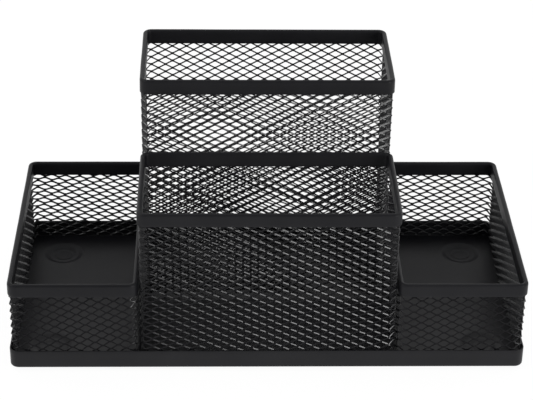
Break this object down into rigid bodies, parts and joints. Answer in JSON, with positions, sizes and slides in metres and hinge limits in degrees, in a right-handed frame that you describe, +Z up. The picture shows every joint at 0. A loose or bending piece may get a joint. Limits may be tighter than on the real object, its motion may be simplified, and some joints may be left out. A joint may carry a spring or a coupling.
{
  "type": "desk organizer",
  "caption": "Free-standing desk organizer: two low side trays and two upright cups of black expanded-metal mesh on one sheet-steel base, holding pens, clips and notes.",
  "frame": {"origin": "centre of the footprint, on the surface the feet stand on", "axes": "+X to the right along the width, +Y to the back, towards the tall cup, +Z up"},
  "size_m": [0.2066, 0.104, 0.1044],
  "materials": {
    "coated_sheet_steel": "satin black powder coat",
    "coated_expanded_steel": "satin black powder coat",
    "foot_rubber": "matte"
  },
  "bodies": {
    "root": {"base_pan": "coated_sheet_steel", "left_tray_mesh": "coated_expanded_steel", "right_tray_mesh": "coated_expanded_steel", "front_cup_mesh": "coated_expanded_steel", "rear_cup_mesh": "coated_expanded_steel", "left_tray_rim": "coated_sheet_steel", "right_tray_rim": "coated_sheet_steel", "front_cup_rim": "coated_sheet_steel", "rear_cup_rim": "coated_sheet_steel", "front_left_foot": "foot_rubber", "front_right_foot": "foot_rubber", "rear_left_foot": "foot_rubber", "rear_right_foot": "foot_rubber"}
  },
  "joints": []
}
